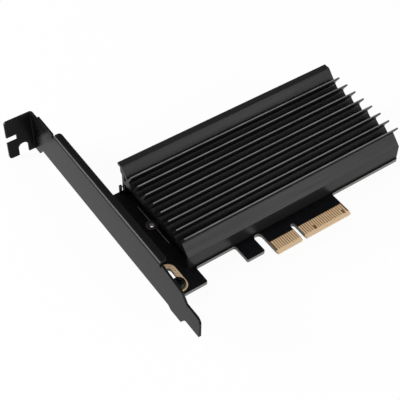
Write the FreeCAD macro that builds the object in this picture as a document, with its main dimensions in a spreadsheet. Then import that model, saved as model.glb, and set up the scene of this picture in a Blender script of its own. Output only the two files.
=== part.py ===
import FreeCAD, Part
import math
import os
from types import SimpleNamespace

import Sketcher

# An adapter card that carries a solid state drive: a board with a contact edge, a folded slot
# bracket and a finned, extruded heatsink over the drive bay. All lengths are millimetres.
# The origin is the middle of the keying notch, on the lower edge of the contact fingers and at
# the component face of the board. X runs along the card away from the bracket, Y from the
# fingers to the back edge, and Z up from the component face.

SIZES = {
    # Board
    "board_thick": 1.57,
    "board_left": -57.3,
    "board_past_drive": 21.6,
    "board_back": 58.9,
    "board_front": 11.7,
    "board_corner": 0.6,
    "ear_right": -41.95,
    "ear_front": 3.9,
    "hook_left": -24.15,
    "hook_right": -16.1,
    "hook_front": 3.6,
    "inside_round": 1.0,
    "notch_wide": 1.9,
    "notch_deep": 8.3,
    "short_tongue": 11.65,
    "long_tongue": 21.65,
    "bevel_long": 1.3,
    "bevel_deep": 0.45,
    # Contact fingers
    "pin_pitch": 1.0,
    "short_tongue_pins": 11,
    "long_tongue_pins": 21,
    "pin_wide": 0.7,
    "pin_from_notch": 0.55,
    "pin_top": 5.8,
    "short_pin_end": 3.2,
    "plating": 0.06,
    # Folded bracket
    "sheet": 0.86,
    "bracket_gap": 0.24,
    "plate_low": -3.22,
    "plate_wide": 18.42,
    "bracket_long": 120.02,
    "tab_face": 105.78,
    "tab_deep": 11.8,
    "tab_low": -7.1,
    "tab_wide": 20.3,
    "tab_round": 1.3,
    "bend_inside": 0.4,
    "shoulder_low": 98.9,
    "shoulder_high": 100.9,
    "shoulder_round": 0.8,
    "screw_notch": 4.42,
    "screw_notch_back": 5.05,
    "screw_notch_deep": 5.9,
    "slit_wide": 3.1,
    "slit_deep": 4.5,
    "slit_centre": 10.35,
    "flange_wide": 3.3,
    "flange_rise": 0.42,
    "flange_back": 85.9,
    "flange_front": 10.4,
    "flange_round": 1.4,
    "relief_wide": 1.2,
    "relief_deep": 1.65,
    "taper_middle": -3.4,
    "taper_drop": 1.85,
    "tongue_wide": 10.19,
    "tongue_low": -0.33,
    "tongue_start": -6.2,
    "tongue_round": 2.3,
    "tongue_heel": 0.8,
    "heel_drop": 1.28,
    "heel_back": 5.3,
    "heel_front": -2.7,
    "heel_run": 1.7,
    "heel_sweep": 1.9,
    "heel_reach": 2.66,
    # Bracket ears, the board slots over them and their screws
    "slot_from_edge": 5.7,
    "upper_slot_shift": 1.0,
    "slot_wide": 3.2,
    "slot_long": 10.35,
    "screw_to_slot_end": 1.65,
    "lower_screw": 8.6,
    "upper_screw": 46.0,
    "ground_ring": 1.8,
    "ear_wide": 5.4,
    "ear_long": 9.6,
    "screw_radius": 1.5,
    "screw_clear": 0.05,
    "head_radius": 2.7,
    "head_high": 1.9,
    "head_bevel": 0.6,
    "head_bevel_high": 0.9,
    "recess_wide": 0.7,
    "recess_long": 2.9,
    "recess_deep": 1.0,
    "screw_below": 0.6,
    # Heatsink section
    "sink_past_nut": 0.3,
    "fin_count": 8,
    "fin_pitch": 5.13,
    "first_fin": 50.36,
    "fin_top": 14.6,
    "fin_tip": 0.85,
    "fin_lean": 2.5,
    "fin_undercut": 4.4,
    "fin_root": 0.9,
    "fin_tip_round": 0.3,
    "valley_offset": 0.1,
    "valley_high": 8.4,
    "crest_angle": 44.5,
    "crest_thick": 1.45,
    "crest_front": 57.5,
    "crest_top": 15.0,
    "crest_round": 0.3,
    "crest_bite": 4.3,
    "lip_back": 60.5,
    "lip_thick": 1.2,
    "rib_back": 58.7,
    "rib_low": 11.3,
    "rib_slope": 0.8,
    "wall_back": 57.6,
    "wall_thick": 1.5,
    "skirt_front": 12.3,
    "skirt_high": 6.5,
    "bay_high": 6.6,
    "rail_wide": 4.6,
    "rail_inset": 6.0,
    # Heatsink screws
    "fixing_inset": 10.0,
    "fixing_radius": 1.25,
    "fixing_depth": 4.5,
    "fixing_head": 2.3,
    "fixing_head_high": 1.5,
    "fixing_recess": 2.4,
    # Drive position, its nuts and its socket
    "drive_axis": 37.4,
    "drive_end": -44.5,
    "drive_long": 80.0,
    "second_drive": 60.0,
    "third_drive": 42.0,
    "fourth_drive": 30.0,
    "nut_flange": 2.4,
    "nut_flange_high": 0.35,
    "nut_barrel": 1.7,
    "nut_thread": 1.0,
    "hole_clear": 0.1,
    "socket_deep": 8.7,
    "socket_wide": 22.8,
    "socket_high": 4.2,
    "mouth_low": 2.05,
    "mouth_high": 1.1,
    "mouth_deep": 3.0,
    "mouth_wide": 20.0,
    "key_offset": 6.125,
    "key_wide": 1.1,
    "contact_pitch": 0.5,
    "contact_wide": 0.22,
    "contact_thick": 0.15,
    "contact_tail": 0.9,
    "contact_span": 18.5,
    "contact_inset": 0.8,
    "upper_riser": 1.6,
    "lower_riser": 0.4,
    "upper_contacts": 38,
    "lower_contacts": 37,
    "contacts_to_key": 29,
    "key_contacts": 4,
    "anchor_long": 2.4,
    "anchor_wide": 1.1,
    "anchor_high": 1.6,
    "peg_long": 1.2,
    "peg_spread": 10.2,
    "large_peg": 0.8,
    "small_peg": 0.55,
    "pad_thick": 1.5,
    "pad_wide": 20.0,
    "pad_long": 70.0,
    "pad_end_gap": 4.0,
    # Small parts on the board
    "chip_long": 1.6,
    "chip_wide": 0.8,
    "chip_high": 0.75,
    "chip_cap": 0.35,
    "chip_step": 0.05,
    "chip_pitch": 1.7,
    "coupling_inset": 4.5,
    "coupling_gap": 0.9,
    "bulk_long": 3.5,
    "bulk_wide": 2.8,
    "bulk_high": 1.9,
    "bulk_pitch": 5.0,
    "bulk_offset": 9.1,
    "resistor_offset": 7.4,
    "led_from_edge": 3.1,
    "post_gap": 0.5,
    "post_wide": 0.9,
    "post_high": 4.0,
    "post_hook": 0.9,
}


# A round end keeps this much flat in its middle, and a cut runs this far past what it cuts.
ARC_SLACK = 0.01
OVERCUT = 1.0


class Length:
    """A number together with the sheet formula that it comes from."""

    def __init__(self, value, formula):
        self.value = value
        self.formula = formula

    def _join(self, other, sign, value):
        return Length(value, f"({self.formula} {sign} {as_length(other).formula})")

    def __add__(self, other):
        return self._join(other, "+", self.value + as_length(other).value)

    def __radd__(self, other):
        return as_length(other) + self

    def __sub__(self, other):
        return self._join(other, "-", self.value - as_length(other).value)

    def __rsub__(self, other):
        return as_length(other) - self

    def __mul__(self, other):
        return self._join(other, "*", self.value * as_length(other).value)

    def __rmul__(self, other):
        return as_length(other) * self

    def __truediv__(self, other):
        return self._join(other, "/", self.value / as_length(other).value)

    def __neg__(self):
        return as_length(0.0) - self

    def tan(self):
        """The tangent of this number, read as degrees."""
        return Length(math.tan(math.radians(self.value)), f"tan({self.formula} * 1 deg)")

    def cos(self):
        """The cosine of this number, read as degrees."""
        return Length(math.cos(math.radians(self.value)), f"cos({self.formula} * 1 deg)")


def as_length(number):
    """Give a plain number a formula of its own."""
    if isinstance(number, Length):
        return number
    return Length(float(number), f"{float(number):.6f}")


def fill_sheet(document):
    """Write the driving sizes to the sheet, and give each one back as a length."""
    sheet = document.addObject("Spreadsheet::Sheet", "Sizes")
    for row, (name, value) in enumerate(SIZES.items(), start=1):
        sheet.set(f"A{row}", name)
        sheet.set(f"B{row}", str(value))
        sheet.setAlias(f"B{row}", name)
    document.recompute()
    return SimpleNamespace(**{name: Length(value, f"Sizes.{name}") for name, value in SIZES.items()})


doc = FreeCAD.newDocument("AdapterCard")
size = fill_sheet(doc)
finished = []


def bind(item, settings):
    """Tie properties of an object to the sheet."""
    for path, length in settings.items():
        item.setExpression(path, as_length(length).formula)


def finish(item, label):
    """Name an object as a finished piece of the card."""
    item.Label = label
    finished.append(item)


def new_body(name):
    """Start a body that may hold several separate solids."""
    body = doc.addObject("PartDesign::Body", name)
    body.AllowCompound = True
    return body


def origin_feature(body, role):
    """Find one of a body's own origin planes or axes."""
    return next(item for item in body.Origin.OriginFeatures if item.Role == role)


def sketch_on(body, plane, name, offset=0.0):
    """Open a sketch on one of the body's own origin planes, moved along its normal."""
    sketch = body.newObject("Sketcher::SketchObject", name)
    sketch.AttachmentSupport = (origin_feature(body, plane), "")
    sketch.MapMode = "FlatFace"
    bind(sketch, {".AttachmentOffset.Base.z": offset})
    return sketch


def constrain(sketch, plain, sized):
    """Add the plain constraints, then the dimensions with their formulas."""
    sketch.addConstraint(plain)
    start = sketch.ConstraintCount
    sketch.addConstraint([constraint for constraint, _ in sized])
    for index, (_, length) in enumerate(sized, start=start):
        sketch.setExpression(f"Constraints[{index}]", as_length(length).formula)


def place_dimensions(geometry, end, corner):
    """Dimensions that hold a point at a corner, from the sketch's origin."""
    across, up = as_length(corner[0]), as_length(corner[1])
    return [
        (Sketcher.Constraint("DistanceX", -1, 1, geometry, end, across.value), across),
        (Sketcher.Constraint("DistanceY", -1, 1, geometry, end, up.value), up),
    ]


def rounded_corner(before, spot, after, radius):
    """The arc of a rounded corner, and the points where it meets its two sides."""
    back = (before - spot).normalize()
    ahead = (after - spot).normalize()
    half = back.getAngle(ahead) / 2
    centre = spot + (back + ahead).normalize() * (radius / math.sin(half))
    inward = (spot - centre).normalize()
    reach = radius / math.tan(half)
    first, last = spot + back * reach, spot + ahead * reach
    return Part.Arc(first, centre + inward * radius, last), first, last


def outline(sketch, corners):
    """Draw a closed outline. A corner is (across, up), with a radius after it where it is round."""
    count = len(corners)
    spots = [FreeCAD.Vector(as_length(c[0]).value, as_length(c[1]).value, 0) for c in corners]
    arrive, leave, arcs = list(spots), list(spots), {}
    for index, corner in enumerate(corners):
        if len(corner) == 3:
            around = spots[index - 1], spots[index], spots[(index + 1) % count]
            arcs[index], arrive[index], leave[index] = rounded_corner(*around, as_length(corner[2]).value)
    sides = [Part.LineSegment(leave[index], arrive[(index + 1) % count]) for index in range(count)]
    lines = sketch.addGeometry(sides)
    plain, sized = [], []
    for index, corner in enumerate(corners):
        into, away = lines[index - 1], lines[index]
        if index not in arcs:
            plain.append(Sketcher.Constraint("Coincident", into, 2, away, 1))
            sized += place_dimensions(away, 1, corner)
            continue
        curve = sketch.addGeometry(arcs[index])
        starts_first = (sketch.getPoint(curve, 1) - arrive[index]).Length < 1e-6
        near, far = (1, 2) if starts_first else (2, 1)
        apex = sketch.addGeometry(Part.Point(spots[index]), True)
        plain.append(Sketcher.Constraint("Tangent", into, 2, curve, near))
        plain.append(Sketcher.Constraint("Tangent", curve, far, away, 1))
        plain.append(Sketcher.Constraint("PointOnObject", apex, 1, into))
        plain.append(Sketcher.Constraint("PointOnObject", apex, 1, away))
        sized += place_dimensions(apex, 1, corner)
        radius = as_length(corner[2])
        sized.append((Sketcher.Constraint("Radius", curve, radius.value), radius))
    constrain(sketch, plain, sized)


def rectangle(sketch, left, low, right, high):
    """Draw an upright rectangle between two corners."""
    outline(sketch, [(left, low), (right, low), (right, high), (left, high)])


def long_hole(sketch, centre, low, high, width):
    """Draw an upright hole with rounded ends, between its two end edges."""
    half = width / 2
    rounding = half - ARC_SLACK
    left, right = centre - half, centre + half
    outline(sketch, [
        (left, low, rounding),
        (right, low, rounding),
        (right, high, rounding),
        (left, high, rounding),
    ])


def circle(sketch, across, up, radius):
    """Draw a circle that is held at its centre."""
    across, up, radius = as_length(across), as_length(up), as_length(radius)
    centre = FreeCAD.Vector(across.value, up.value, 0)
    index = sketch.addGeometry(Part.Circle(centre, FreeCAD.Vector(0, 0, 1), radius.value))
    sized = place_dimensions(index, 3, (across, up))
    sized.append((Sketcher.Constraint("Radius", index, radius.value), radius))
    constrain(sketch, [], sized)


def pad(body, sketch, length, backward=False):
    """Pull a sketch out along its normal, or against it."""
    feature = body.newObject("PartDesign::Pad", sketch.Name + "Pad")
    feature.Profile = sketch
    feature.Reversed = backward
    bind(feature, {"Length": length})
    sketch.Visibility = False
    return feature


def pocket(body, sketch, depth=None, forward=False):
    """Cut a sketch into the body, right through where no depth is given."""
    before = body.Tip
    feature = body.newObject("PartDesign::Pocket", sketch.Name + "Pocket")
    feature.Profile = sketch
    if depth is None:
        feature.Type = "ThroughAll"
        feature.SideType = "Symmetric"
    else:
        feature.Reversed = forward
        bind(feature, {"Length": depth})
    doc.recompute()
    if not feature.Shape.Volume < before.Shape.Volume - 1e-6:
        raise RuntimeError(f"{feature.Name} cuts nothing")
    return feature


def repeat(body, features, axis, step, count, backward=False):
    """Repeat features along an axis of the body, at a fixed step."""
    pattern = body.newObject("PartDesign::LinearPattern", features[0].Name + "Row")
    pattern.Originals = features
    pattern.Direction = (origin_feature(body, axis), [""])
    pattern.Reversed = backward
    bind(pattern, {"Length": step * (count - 1), "Occurrences": count})
    body.Tip = pattern
    return pattern


def round_edges(body, radius, wanted):
    """Round the straight edges whose middle and direction pass a test."""
    doc.recompute()
    base = body.Tip
    names = [
        f"Edge{number}"
        for number, edge in enumerate(base.Shape.Edges, start=1)
        if isinstance(edge.Curve, Part.Line) and wanted(edge.CenterOfMass, edge.Curve.Direction)
    ]
    feature = body.newObject("PartDesign::Fillet", base.Name + "Round")
    feature.Base = (base, names)
    bind(feature, {"Radius": radius})
    return feature


def box(name, corner, lengths):
    """Make a box from its lowest corner."""
    item = doc.addObject("Part::Box", name)
    paths = ["Placement.Base.x", "Placement.Base.y", "Placement.Base.z"]
    bind(item, dict(zip(paths, corner)))
    bind(item, dict(zip(["Length", "Width", "Height"], lengths)))
    return item


def group(items, label):
    """Keep separate solids together as one piece."""
    compound = doc.addObject("Part::Compound", label.title().replace("_", ""))
    compound.Links = items
    finish(compound, label)


def screw(name, place, radius, shank, head, head_high, recess, upside_down=False):
    """Turn a pan head screw with a cross recess, from the seat of its head."""
    body = new_body(name)
    profile = sketch_on(body, "XZ_Plane", name + "Profile")
    outline(profile, [
        (0.0, -shank),
        (radius, -shank),
        (radius, 0.0),
        (head, 0.0),
        (head, head_high - size.head_bevel_high),
        (head - size.head_bevel, head_high),
        (0.0, head_high),
    ])
    turned = body.newObject("PartDesign::Revolution", name + "Turned")
    turned.Profile = profile
    turned.ReferenceAxis = (profile, ["V_Axis"])
    turned.Angle = 360
    body.Tip = turned
    doc.recompute()
    cross = sketch_on(body, "XY_Plane", name + "Cross", head_high)
    reach, half = recess / 2, size.recess_wide / 2
    arms = [(reach, half), (half, half), (half, reach)]
    corners = []
    for across, up in ((1, 1), (-1, 1), (-1, -1), (1, -1)):
        quarter = arms if across * up > 0 else arms[::-1]
        corners += [(x * across, y * up) for x, y in quarter]
    outline(cross, corners)
    pocket(body, cross, size.recess_deep)
    if upside_down:
        body.Placement = FreeCAD.Placement(FreeCAD.Vector(), FreeCAD.Rotation(FreeCAD.Vector(1, 0, 0), 180))
    bind(body, {f"Placement.Base.{letter}": value for letter, value in zip("xyz", place)})
    return body


# Places that several pieces share
notch_half = size.notch_wide / 2
board_right = size.drive_end + size.drive_long + size.board_past_drive
board_low = -size.board_thick
plate_inner = size.board_left - size.bracket_gap
plate_outer = plate_inner - size.sheet
plate_high = size.plate_low + size.plate_wide
tab_end = plate_outer - size.tab_deep
tab_high = size.tab_low + size.tab_wide
tab_under = size.tab_face - size.sheet
tongue_end = size.tab_face - size.bracket_long
tongue_high = size.tongue_low + size.tongue_wide
slot_centre = size.board_left + size.slot_from_edge
bracket_fixings = [
    (slot_centre, size.lower_screw),
    (slot_centre - size.upper_slot_shift, size.upper_screw),
]
board_slots = [
    (along, screw_at - size.screw_to_slot_end, screw_at - size.screw_to_slot_end + size.slot_long)
    for along, screw_at in bracket_fixings
]
last_fin = size.first_fin - size.fin_pitch * (size.fin_count - 1)
sink_left = size.drive_end - size.sink_past_nut
sink_long = board_right - sink_left
wall_inner = size.wall_back - size.wall_thick
skirt_inner = size.skirt_front + size.wall_thick
fixing_places = [
    (along, across)
    for along in (sink_left + size.fixing_inset, board_right - size.fixing_inset)
    for across in (skirt_inner + size.rail_wide / 2, wall_inner - size.rail_wide / 2)
]
drive_stop = size.drive_end + size.drive_long
drive_lengths = [size.drive_long, size.second_drive, size.third_drive, size.fourth_drive]
drive_places = [drive_stop - length for length in drive_lengths]
socket_front = drive_stop - size.mouth_deep
socket_back = socket_front + size.socket_deep
socket_low = size.drive_axis - size.socket_wide / 2
peg_places = [
    (size.drive_axis - size.peg_spread, size.large_peg),
    (size.drive_axis + size.peg_spread, size.small_peg),
]
peg_along = socket_front + size.socket_deep / 2


def make_circuit_board():
    body = new_body("CircuitBoard")
    shape = sketch_on(body, "XY_Plane", "BoardOutline", board_low)
    corner, inside = size.board_corner, size.inside_round
    slot_round = (size.hook_right * -1 - notch_half - size.short_tongue) / 2 - ARC_SLACK
    outline(shape, [
        (size.board_left, size.board_back, corner),
        (size.board_left, size.ear_front, corner),
        (size.ear_right, size.ear_front, corner),
        (size.ear_right, size.board_front, inside),
        (size.hook_left, size.board_front, inside),
        (size.hook_left, size.hook_front, corner),
        (size.hook_right, size.hook_front, corner),
        (size.hook_right, size.board_front, slot_round),
        (-notch_half - size.short_tongue, size.board_front, slot_round),
        (-notch_half - size.short_tongue, 0.0, corner / 2),
        (-notch_half, 0.0, corner / 2),
        (-notch_half, size.notch_deep, notch_half - ARC_SLACK),
        (notch_half, size.notch_deep, notch_half - ARC_SLACK),
        (notch_half, 0.0, corner / 2),
        (notch_half + size.long_tongue, 0.0, corner / 2),
        (notch_half + size.long_tongue, size.board_front, inside),
        (board_right, size.board_front, corner),
        (board_right, size.board_back, corner),
    ])
    pad(body, shape, size.board_thick)
    holes = sketch_on(body, "XY_Plane", "BoardHoles")
    for along, low, high in board_slots:
        long_hole(holes, along, low, high, size.slot_wide)
    for place in drive_places:
        circle(holes, place, size.drive_axis, size.nut_barrel + size.screw_clear)
    for along, across in fixing_places:
        circle(holes, along, across, size.fixing_radius + size.hole_clear)
    for across, radius in peg_places:
        circle(holes, peg_along, across, radius + size.screw_clear)
    doc.recompute()
    pocket(body, holes)
    bevels = sketch_on(body, "YZ_Plane", "ContactBevels")
    for face, depth in ((as_length(0.0), -size.bevel_deep), (board_low, size.bevel_deep)):
        outline(bevels, [(0.0, face), (size.bevel_long, face), (0.0, face + depth)])
    pocket(body, bevels)
    finish(body, "circuit_board")


def make_edge_contacts():
    half = size.pin_wide / 2
    first = notch_half + size.pin_from_notch
    short = SIZES["short_tongue_pins"]
    short_rows = {"front": (17, 31), "back": (1,)}
    floors = {"front": as_length(0.0), "back": board_low - size.plating}
    for side, floor in floors.items():
        pins = []
        for pin in range(1, short + SIZES["long_tongue_pins"] + 1):
            if pin <= short:
                centre = -first - size.pin_pitch * (short - pin)
            else:
                centre = first + size.pin_pitch * (pin - short - 1)
            low = size.short_pin_end if pin in short_rows[side] else size.bevel_long
            corner = (centre - half, low, floor)
            lengths = (size.pin_wide, size.pin_top - low, size.plating)
            pins.append(box(f"Contact{side.title()}{pin}", corner, lengths))
        group(pins, f"edge_contacts_{side}")


def make_ground_pads():
    for side, floor in (("front", as_length(0.0)), ("back", board_low - size.plating)):
        body = new_body("GroundPads" + side.title())
        shape = sketch_on(body, "XY_Plane", f"Ground{side.title()}", floor)
        ring = size.ground_ring
        for along, low, high in board_slots:
            long_hole(shape, along, low - ring, high + ring, size.slot_wide + ring * 2)
            long_hole(shape, along, low, high, size.slot_wide)
        pad(body, shape, size.plating)
        finish(body, f"ground_pads_{side}")


def bracket_outline():
    """The flat outline of the bracket, seen along the card. The plate is cut back for its flange."""
    fold_seat = plate_high - size.relief_deep
    heel_low = size.plate_low - size.heel_drop
    beyond = size.tab_face + OVERCUT
    return [
        (tongue_end, size.tongue_low, size.tongue_heel),
        (size.heel_front - size.heel_reach, size.tongue_low, size.heel_sweep),
        (size.heel_front, heel_low),
        (size.heel_back - size.heel_run, heel_low),
        (size.heel_back, size.plate_low),
        (size.shoulder_low, size.plate_low, size.shoulder_round),
        (size.shoulder_high, size.tab_low, size.shoulder_round),
        (beyond, size.tab_low),
        (beyond, tab_high),
        (size.shoulder_high, tab_high, size.shoulder_round),
        (size.shoulder_low, plate_high, size.shoulder_round),
        (size.flange_back + size.relief_wide, plate_high),
        (size.flange_back + size.relief_wide, fold_seat),
        (size.flange_front - size.relief_wide, fold_seat),
        (size.flange_front - size.relief_wide, plate_high),
        (size.taper_middle, plate_high - size.taper_drop),
        (size.tongue_start, tongue_high, size.shoulder_round),
        (tongue_end, tongue_high, size.tongue_round),
    ]


def make_bracket():
    body = new_body("Bracket")
    outer_bend = size.bend_inside + size.sheet
    blank = sketch_on(body, "XY_Plane", "BracketFold", size.tab_low)
    outline(blank, [
        (plate_outer, tongue_end),
        (plate_outer, tab_under, size.bend_inside),
        (tab_end, tab_under),
        (tab_end, size.tab_face),
        (plate_inner, size.tab_face, outer_bend),
        (plate_inner, tongue_end),
    ])
    pad(body, blank, plate_high - size.tab_low)
    doc.recompute()
    trim = sketch_on(body, "YZ_Plane", "BracketTrim")
    outline(trim, bracket_outline())
    margin = OVERCUT * 2
    rectangle(trim, tongue_end - margin, size.tab_low - margin, size.tab_face + margin, plate_high + margin)
    pocket(body, trim)
    flange_high = plate_high + size.flange_rise
    seat = plate_high - size.relief_deep - OVERCUT
    flange = sketch_on(body, "XZ_Plane", "FlangeFold", -size.flange_back)
    outline(flange, [
        (plate_outer, seat),
        (plate_outer, flange_high, outer_bend),
        (plate_outer + size.flange_wide, flange_high),
        (plate_outer + size.flange_wide, flange_high - size.sheet),
        (plate_inner, flange_high - size.sheet, size.bend_inside),
        (plate_inner, seat),
    ])
    pad(body, flange, size.flange_back - size.flange_front)
    ear_high = board_low - size.plating
    ear = sketch_on(body, "XZ_Plane", "EarFold", -size.lower_screw - size.ear_wide / 2)
    outline(ear, [
        (plate_outer, 0.0),
        (plate_outer, ear_high - size.sheet, outer_bend),
        (plate_outer + size.ear_long, ear_high - size.sheet),
        (plate_outer + size.ear_long, ear_high),
        (plate_inner, ear_high, size.bend_inside),
        (plate_inner, 0.0),
    ])
    ear_fold = pad(body, ear, size.ear_wide)
    repeat(body, [ear_fold], "Y_Axis", size.upper_screw - size.lower_screw, as_length(2.0))
    doc.recompute()
    threads = sketch_on(body, "XY_Plane", "EarThreads")
    for along, screw_at in bracket_fixings:
        circle(threads, along, screw_at, size.screw_radius + size.screw_clear)
    pocket(body, threads)
    notches = sketch_on(body, "XZ_Plane", "TabNotches")
    notch_centre = plate_outer - size.screw_notch_back
    notch_round = size.screw_notch / 2 - ARC_SLACK
    notch_left, notch_right = notch_centre - size.screw_notch / 2, notch_centre + size.screw_notch / 2
    notch_top = size.tab_low + size.screw_notch_deep
    outline(notches, [
        (notch_left, size.tab_low - OVERCUT),
        (notch_right, size.tab_low - OVERCUT),
        (notch_right, notch_top, notch_round),
        (notch_left, notch_top, notch_round),
    ])
    slit_low = size.tab_low + size.slit_centre - size.slit_wide / 2
    rectangle(notches, tab_end - OVERCUT, slit_low, tab_end + size.slit_deep, slit_low + size.slit_wide)
    pocket(body, notches)
    round_edges(body, size.tab_round, lambda middle, along: (
        abs(along.y) > 0.99
        and abs(middle.x - tab_end.value) < 0.01
        and min(abs(middle.z - size.tab_low.value), abs(middle.z - tab_high.value)) < 0.01
    ))
    free_edge = plate_outer.value + size.flange_wide.value
    round_edges(body, size.flange_round, lambda middle, along: (
        abs(along.z) > 0.99
        and abs(middle.x - free_edge) < 0.01
        and middle.z > plate_high.value - size.sheet.value
    ))
    finish(body, "bracket")


def make_bracket_screws():
    shank = size.plating * 2 + size.board_thick + size.sheet + size.screw_below
    screws = []
    for number, (along, screw_at) in enumerate(bracket_fixings, start=1):
        seat = (along, screw_at, size.plating)
        screws.append(screw(
            f"BracketScrew{number}", seat, size.screw_radius, shank,
            size.head_radius, size.head_high, size.recess_long,
        ))
    group(screws, "bracket_screws")


def make_heatsink():
    body = new_body("Heatsink")
    valley = last_fin - size.valley_offset
    shell = sketch_on(body, "YZ_Plane", "SinkShell", sink_left)
    outline(shell, [
        (size.skirt_front, 0.0),
        (size.skirt_front, size.skirt_high, size.crest_round),
        (valley, size.valley_high),
        (wall_inner, size.valley_high),
        (wall_inner, size.rib_low),
        (size.wall_back, size.rib_low),
        (size.wall_back, 0.0),
        (wall_inner, 0.0),
        (wall_inner, size.bay_high, size.crest_round),
        (skirt_inner, size.bay_high, size.crest_round),
        (skirt_inner, 0.0),
    ])
    pad(body, shell, sink_long)
    rails = sketch_on(body, "YZ_Plane", "ScrewRails", sink_left + size.rail_inset)
    web_middle = (size.bay_high + size.valley_high) / 2
    rectangle(rails, size.skirt_front + size.wall_thick / 2, 0.0, skirt_inner + size.rail_wide, web_middle)
    rectangle(rails, wall_inner - size.rail_wide, 0.0, wall_inner + size.wall_thick / 2, web_middle)
    pad(body, rails, sink_long - size.rail_inset * 2)
    slope = size.crest_angle.tan()
    under = size.crest_thick / size.crest_angle.cos()
    bite = size.crest_front - size.crest_bite
    crest = sketch_on(body, "YZ_Plane", "SinkCrest", sink_left)
    outline(crest, [
        (bite, size.crest_top - slope * size.crest_bite),
        (size.crest_front, size.crest_top, size.crest_round),
        (size.lip_back, size.crest_top, size.crest_round),
        (size.lip_back, size.crest_top - size.lip_thick, size.crest_round),
        (size.rib_back, size.crest_top - size.lip_thick),
        (size.rib_back, size.rib_low),
        (size.wall_back, size.rib_low - size.rib_slope),
        (wall_inner, size.rib_low - size.rib_slope),
        (wall_inner, size.crest_top - under - slope * (size.crest_front - wall_inner)),
        (bite, size.crest_top - under - slope * size.crest_bite),
    ])
    pad(body, crest, sink_long)
    tooth = sketch_on(body, "YZ_Plane", "FinTooth", sink_left)
    back_valley = size.first_fin + size.fin_pitch - size.valley_offset
    front_valley = size.first_fin - size.valley_offset
    outline(tooth, [
        (back_valley, size.valley_high),
        (size.first_fin + size.fin_tip, size.fin_top, size.fin_tip_round),
        (size.first_fin, size.fin_top, size.fin_tip_round),
        (size.first_fin + size.fin_lean, size.fin_top - size.fin_undercut, size.fin_root),
        (front_valley, size.valley_high),
        (front_valley, web_middle),
        (back_valley, web_middle),
    ])
    fin = pad(body, tooth, sink_long)
    repeat(body, [fin], "Y_Axis", size.fin_pitch, size.fin_count, backward=True)
    doc.recompute()
    threads = sketch_on(body, "XY_Plane", "SinkThreads")
    for along, across in fixing_places:
        circle(threads, along, across, size.fixing_radius + size.screw_clear)
    pocket(body, threads, size.fixing_depth, forward=True)
    finish(body, "heatsink")


def make_heatsink_screws():
    shank = size.board_thick + size.fixing_depth - size.hole_clear * 2
    screws = []
    for number, (along, across) in enumerate(fixing_places, start=1):
        screws.append(screw(
            f"HeatsinkScrew{number}", (along, across, board_low), size.fixing_radius, shank,
            size.fixing_head, size.fixing_head_high, size.fixing_recess, upside_down=True,
        ))
    group(screws, "heatsink_screws")


def make_thermal_pad():
    low = size.drive_axis - size.pad_wide / 2
    right = socket_front - size.pad_end_gap
    corner = (right - size.pad_long, low, size.bay_high - size.pad_thick)
    finish(box("ThermalPad", corner, (size.pad_long, size.pad_wide, size.pad_thick)), "thermal_pad")


def make_drive_nuts():
    body = new_body("DriveNuts")
    flange = sketch_on(body, "XY_Plane", "NutFlanges")
    barrel = sketch_on(body, "XY_Plane", "NutBarrels")
    for place in drive_places:
        circle(flange, place, size.drive_axis, size.nut_flange)
        circle(flange, place, size.drive_axis, size.nut_thread)
        circle(barrel, place, size.drive_axis, size.nut_barrel)
        circle(barrel, place, size.drive_axis, size.nut_thread)
    pad(body, flange, size.nut_flange_high)
    pad(body, barrel, size.board_thick, backward=True)
    finish(body, "drive_nuts")


def contact_row(body, name, corners, first, count):
    """Pad one contact each side of the key, and repeat it along its row."""
    past_key = size.contacts_to_key + size.key_contacts
    runs = [(first, size.contacts_to_key), (first + size.contact_pitch * past_key, count - past_key)]
    for part, (start, number) in enumerate(runs, start=1):
        shape = sketch_on(body, "XZ_Plane", f"{name}{part}", -start - size.contact_wide / 2)
        outline(shape, corners)
        wire = pad(body, shape, size.contact_wide)
        repeat(body, [wire], "Y_Axis", size.contact_pitch, number)


def make_drive_socket():
    thick, tail = size.contact_thick, size.contact_tail
    ceiling = size.mouth_low + size.mouth_high
    wires = new_body("SocketContacts")
    first = size.drive_axis - size.contact_span / 2
    tip = socket_front + size.contact_inset
    riser = drive_stop + size.upper_riser
    contact_row(wires, "UpperContact", [
        (socket_back + tail, 0.0),
        (socket_back + tail, thick),
        (riser + thick, thick),
        (riser + thick, ceiling),
        (tip, ceiling),
        (tip, ceiling - thick),
        (riser, ceiling - thick),
        (riser, 0.0),
    ], first, size.upper_contacts)
    riser = drive_stop + size.lower_riser
    contact_row(wires, "LowerContact", [
        (socket_front - tail, 0.0),
        (socket_front - tail, thick),
        (riser, thick),
        (riser, size.mouth_low),
        (tip, size.mouth_low),
        (tip, size.mouth_low + thick),
        (riser + thick, size.mouth_low + thick),
        (riser + thick, 0.0),
    ], first + size.contact_pitch / 2, size.lower_contacts)
    finish(wires, "socket_contacts")

    shell = new_body("SocketShell")
    section = sketch_on(shell, "XZ_Plane", "SocketSection", -socket_low - size.socket_wide)
    outline(section, [
        (socket_front, thick),
        (socket_back, thick),
        (socket_back, size.socket_high, size.crest_round),
        (socket_front, size.socket_high, size.crest_round),
    ])
    pad(shell, section, size.socket_wide)
    for name, (across, radius) in zip(("LargePeg", "SmallPeg"), peg_places):
        peg = sketch_on(shell, "XY_Plane", name, thick)
        circle(peg, peg_along, across, radius)
        pad(shell, peg, thick + size.peg_long, backward=True)
    doc.recompute()
    mouth = sketch_on(shell, "YZ_Plane", "SocketMouth", socket_front)
    key = size.drive_axis + size.key_offset
    edges = [
        (size.drive_axis - size.mouth_wide / 2, key - size.key_wide / 2),
        (key + size.key_wide / 2, size.drive_axis + size.mouth_wide / 2),
    ]
    for low, high in edges:
        rectangle(mouth, low, size.mouth_low, high, ceiling)
    pocket(shell, mouth, size.mouth_deep, forward=True)
    housing = doc.addObject("Part::Cut", "DriveSocket")
    housing.Base = shell
    housing.Tool = wires
    finish(housing, "drive_socket")


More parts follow.
